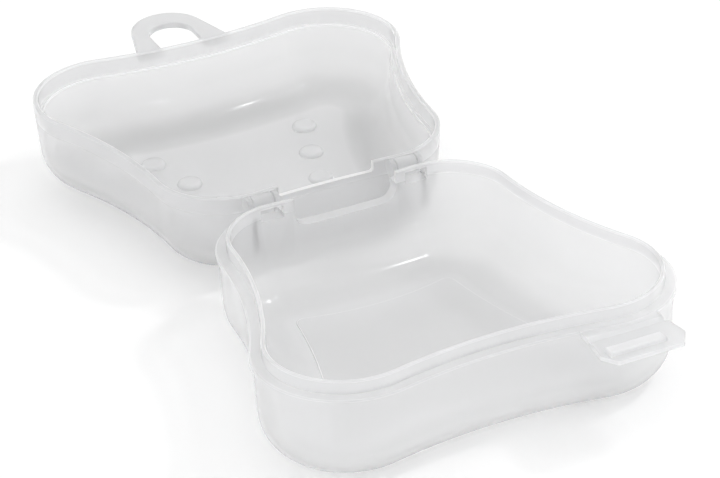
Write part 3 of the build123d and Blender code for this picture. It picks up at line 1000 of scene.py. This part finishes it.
class CASE_OT_lid_tray(bpy.types.Operator):
    """Build the lid tray below its skirt"""
    bl_idname = "case.lid_tray"
    bl_label = "Lid tray"

    def execute(self, context):
        wall = tilted(swept("lid_tray", lid_section(), True, False, "lid plastic"))
        nodes = [n for n in frame["nodes"] if n.startswith("lid_pad_")] + ["lid_catch"]
        contacts = [contact_cutter(node, ["lid_shell"]) for node in nodes]
        made = shaded(carve(wall, contacts, "lid_tray"))
        settle(made, "lid", ["lid_shell"])
        return {"FINISHED"}


class CASE_OT_lid_skirt(bpy.types.Operator):
    """Build the lid's thin skirt with its notch by the hinge"""
    bl_idname = "case.lid_skirt"
    bl_label = "Lid skirt"

    def execute(self, context):
        s, o = bpy.context.scene.case_lid, bpy.context.scene.case_outline
        notch = rounded(s.notch_half, -s.notch_depth, CUT_OVER, s.notch_r)
        tools = [cutter("notch", notch, o.hinge_y, o.hinge_y + CUT_OVER, "lid plastic")]
        wall = swept("skirt", skirt_section(), True, True, "lid rim plastic")
        contacts = [contact_cutter(node, ["lid_skirt"]) for node in (
            "hang_loop", "hinge_clip_left", "hinge_clip_right")]
        made = shaded(carve(tilted(carve(wall, tools, "skirt")), contacts, "skirt"))
        settle(made, "lid", ["lid_skirt"])
        return {"FINISHED"}


class CASE_OT_pads(bpy.types.Operator):
    """Set the oval pads on the lid's panel"""
    bl_idname = "case.pads"
    bl_label = "Lid pads"

    def execute(self, context):
        s, lid, o = context.scene.case_pads, context.scene.case_lid, context.scene.case_outline
        nodes = sorted(n for n in frame["nodes"] if n.startswith("lid_pad_"))
        flat = Matrix.Rotation(-o.lid_tilt, 4, "X") @ Matrix.Translation((0, -o.hinge_y, -o.hinge_z))
        height = lid.rim - lid.depth + lid.floor
        points = []
        for node in nodes:
            low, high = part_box(node)
            middle = flat @ ((low + high) / 2)
            points.append((middle.x, middle.y + o.hinge_y, height))
        mesh = bpy.data.meshes.new("pad_places")
        mesh.from_pydata(points, [], [])
        values = {"Length": s.long, "Width": s.wide, "Rise": s.rise, "Edge": s.edge_r, "Sides": s.sides,
                  "Plastic": finish("flap plastic"), "Seam": finish("seam")}
        made = grown(new_object("pad_places", mesh), finish.trees["pads"], values, "pads")
        outwards(made)
        shaded(tilted(made))
        settle(made, "lid", nodes)
        return {"FINISHED"}


class CASE_OT_small_parts(bpy.types.Operator):
    """Clean up the hinge, latch, loop and catch parts"""
    bl_idname = "case.small_parts"
    bl_label = "Hinge, latch, loop and catch"

    def execute(self, context):
        lid_walls, base_walls = ["lid_shell", "lid_skirt"], ["base_shell", "base_lip"]
        moulded_copy("hang_loop", "loop", lid_walls, "lid", "thin plastic")
        moulded_copy("lid_catch", "catch", lid_walls, "lid", "faint plastic", SOFT_EDGE)
        # The panel's and shelf's upright faces and soft edges, the flap's upright faces and the whole rib
        # take the painted highlight finish
        moulded_copy("floor_panel", "panel", base_walls, "base", "base plastic",
                     PANEL_SOFT_EDGE, sides="edge plastic")
        moulded_copy("latch_shelf", "shelf", base_walls, "base", "base rim plastic",
                     SOFT_EDGE, sides="edge plastic")
        moulded_copy("latch_flap", "flap", ["latch_rib"], "latch",
                     "flap plastic", carries=["latch_rib"], sides="edge plastic")
        moulded_copy("latch_rib", "rib", ["latch_flap"], "latch", "edge plastic")
        for side in ("left", "right"):
            bar = f"hinge_bar_{side}"
            ears = [f"hinge_ear_{side}_{place}" for place in ("inner", "outer")]
            moulded_copy(bar, f"bar_{side}", ears, "base", "flap plastic")
            for ear in ears:
                moulded_copy(ear, ear.replace("hinge_", ""), [*base_walls, bar], "base",
                             "flap plastic", SOFT_EDGE, [bar])
            clip = f"hinge_clip_{side}"
            moulded_copy(clip, f"clip_{side}", lid_walls, "lid", "flap plastic",
                         SOFT_EDGE)
        return {"FINISHED"}


def lamp(name, place, size, power):
    """Soft rectangular lamp that looks at the case."""
    data = bpy.data.lights.new(name, "AREA")
    data.shape = "RECTANGLE"
    data.size, data.size_y = size
    data.energy = power
    made = bpy.data.objects.new(name, data)
    bpy.context.scene.collection.objects.link(made)
    turn = (Vector(place) - Vector(LAMP_TARGET)).to_track_quat("Z", "Y")
    made.matrix_world = Matrix.Translation(place) @ turn.to_matrix().to_4x4()


def white_world(strength):
    """Even white light; straight and through-going views see plain white."""
    world = bpy.data.worlds.new("white room")
    world.use_nodes = True
    bpy.context.scene.world = world
    nodes = Nodes(world.node_tree)
    nodes.tree.nodes.clear()
    path = nodes.add("ShaderNodeLightPath").outputs
    either = nodes.value("ShaderNodeMath", 0, {"operation": "MAXIMUM", "use_clamp": True},
                         n0=path["Is Camera Ray"], n1=path["Is Transmission Ray"])
    level = nodes.value("ShaderNodeMapRange", Value=either, To_Min=strength, To_Max=1.0)
    light = nodes.value("ShaderNodeBackground", Color=(1, 1, 1, 1), Strength=level)
    nodes.add("ShaderNodeOutputWorld", Surface=light)


class CASE_OT_stage(bpy.types.Operator):
    """Set the white floor, the soft light and the camera"""
    bl_idname = "case.stage"
    bl_label = "Stage"

    def execute(self, context):
        s = context.scene.case_stage
        look = Look("white floor")
        shader = look.add("ShaderNodeBsdfPrincipled", Base_Color=(1, 1, 1, 1), Roughness=0.9,
                          Specular_IOR_Level=0.0)
        mesh = bpy.data.meshes.new("floor")
        corners = [(x * FLOOR_REACH, y * FLOOR_REACH, -FLOOR_DROP)
                   for x, y in ((-1, -1), (1, -1), (1, 1), (-1, 1))]
        mesh.from_pydata(corners, [], [(0, 1, 2, 3)])
        mesh.materials.append(look.shade(shader))
        new_object("floor", mesh)
        white_world(s.sky)
        lamp("key", KEY_PLACE, KEY_SIZE, s.key)
        lamp("front glint", FRONT_GLINT_PLACE, GLINT_SIZE, s.glint)
        lamp("back glint", BACK_GLINT_PLACE, GLINT_SIZE, s.glint)
        lamp("side glint", SIDE_GLINT_PLACE, GLINT_SIZE, s.glint)
        self.camera(context, s)
        context.scene.view_settings.view_transform = "Standard"
        return {"FINISHED"}

    def camera(self, context, s):
        """Camera at the photograph's place, turn, dip and roll."""
        ahead = Vector((sin(s.turn) * cos(s.dip), cos(s.turn) * cos(s.dip), -sin(s.dip)))
        side = Vector((cos(s.turn), -sin(s.turn), 0))
        up = side.cross(ahead)
        right = side * cos(s.roll) + up * sin(s.roll)
        over = up * cos(s.roll) - side * sin(s.roll)
        data = bpy.data.cameras.new("camera")
        data.lens, data.sensor_width = s.lens, 36.0
        made = bpy.data.objects.new("camera", data)
        context.scene.collection.objects.link(made)
        turn = Matrix((right, over, -ahead)).transposed().to_4x4()
        made.matrix_world = Matrix.Translation(s.camera) @ turn
        context.scene.camera = made


class CASE_PT_panel(bpy.types.Panel):
    """Buttons for the case's pieces"""
    bl_idname = "CASE_PT_panel"
    bl_label = "Mouth guard case"
    bl_space_type = "VIEW_3D"
    bl_region_type = "UI"
    bl_category = "Case"

    def draw(self, context):
        for operator in OPERATORS:
            self.layout.operator(operator.bl_idname)


OPERATORS = (CASE_OT_base_tray, CASE_OT_base_lip, CASE_OT_lid_tray, CASE_OT_lid_skirt, CASE_OT_pads,
             CASE_OT_small_parts, CASE_OT_stage)
GROUPS = {"case_outline": OutlineSizes, "case_base": BaseSizes, "case_lid": LidSizes,
          "case_pads": PadSizes, "case_plastic": PlasticLook, "case_stage": StageLook}


def register():
    """Registers the sizes, operators and panel."""
    for name, group in GROUPS.items():
        bpy.utils.register_class(group)
        setattr(bpy.types.Scene, name, PointerProperty(type=group))
    for each in (*OPERATORS, CASE_PT_panel):
        bpy.utils.register_class(each)


def unregister():
    """Takes them out again."""
    for each in (CASE_PT_panel, *reversed(OPERATORS)):
        bpy.utils.unregister_class(each)
    for name, group in GROUPS.items():
        delattr(bpy.types.Scene, name)
        bpy.utils.unregister_class(group)


def main():
    """Builds every piece."""
    register()
    finish.trees["wall"] = wall_tree()
    finish.trees["pads"] = pad_tree()
    bpy.ops.case.base_tray()
    bpy.ops.case.base_lip()
    bpy.ops.case.lid_tray()
    bpy.ops.case.lid_skirt()
    bpy.ops.case.pads()
    bpy.ops.case.small_parts()
    bpy.ops.case.stage()


if __name__ == "__main__":
    main()
